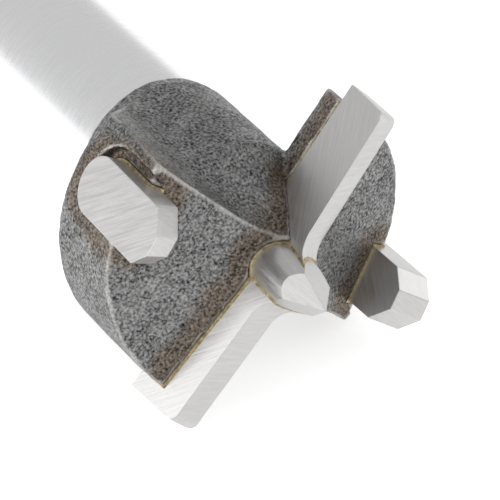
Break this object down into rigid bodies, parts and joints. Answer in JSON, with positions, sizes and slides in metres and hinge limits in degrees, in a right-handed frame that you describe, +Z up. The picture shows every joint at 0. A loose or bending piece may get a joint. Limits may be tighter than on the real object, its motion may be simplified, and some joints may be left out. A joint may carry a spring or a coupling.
{
  "type": "wood boring bit",
  "caption": "Carbide-tipped boring bit for wood, with a plain round shank, wing cutters, scribing spurs and a short centre point.",
  "frame": {"origin": "on the bench, under the middle of the bit's box as it lies on its side", "axes": "+X along the bit towards the point (the axis itself rises 3.3 degrees), +Z up"},
  "size_m": [0.0572, 0.0162, 0.0139],
  "materials": {
    "steel": "blasted forged head, bright ground shank",
    "carbide": "ground tungsten carbide with fine wheel lines",
    "braze": "dull brazing alloy"
  },
  "bodies": {
    "root": {"body": "steel", "wing_cutter_1": "carbide", "wing_cutter_2": "carbide", "centre_point": "carbide", "spur_1": "carbide", "spur_2": "carbide", "braze_cutter_1": "braze", "braze_cutter_2": "braze", "braze_spur_1": "braze", "braze_spur_2": "braze", "braze_centre": "braze"}
  },
  "joints": []
}
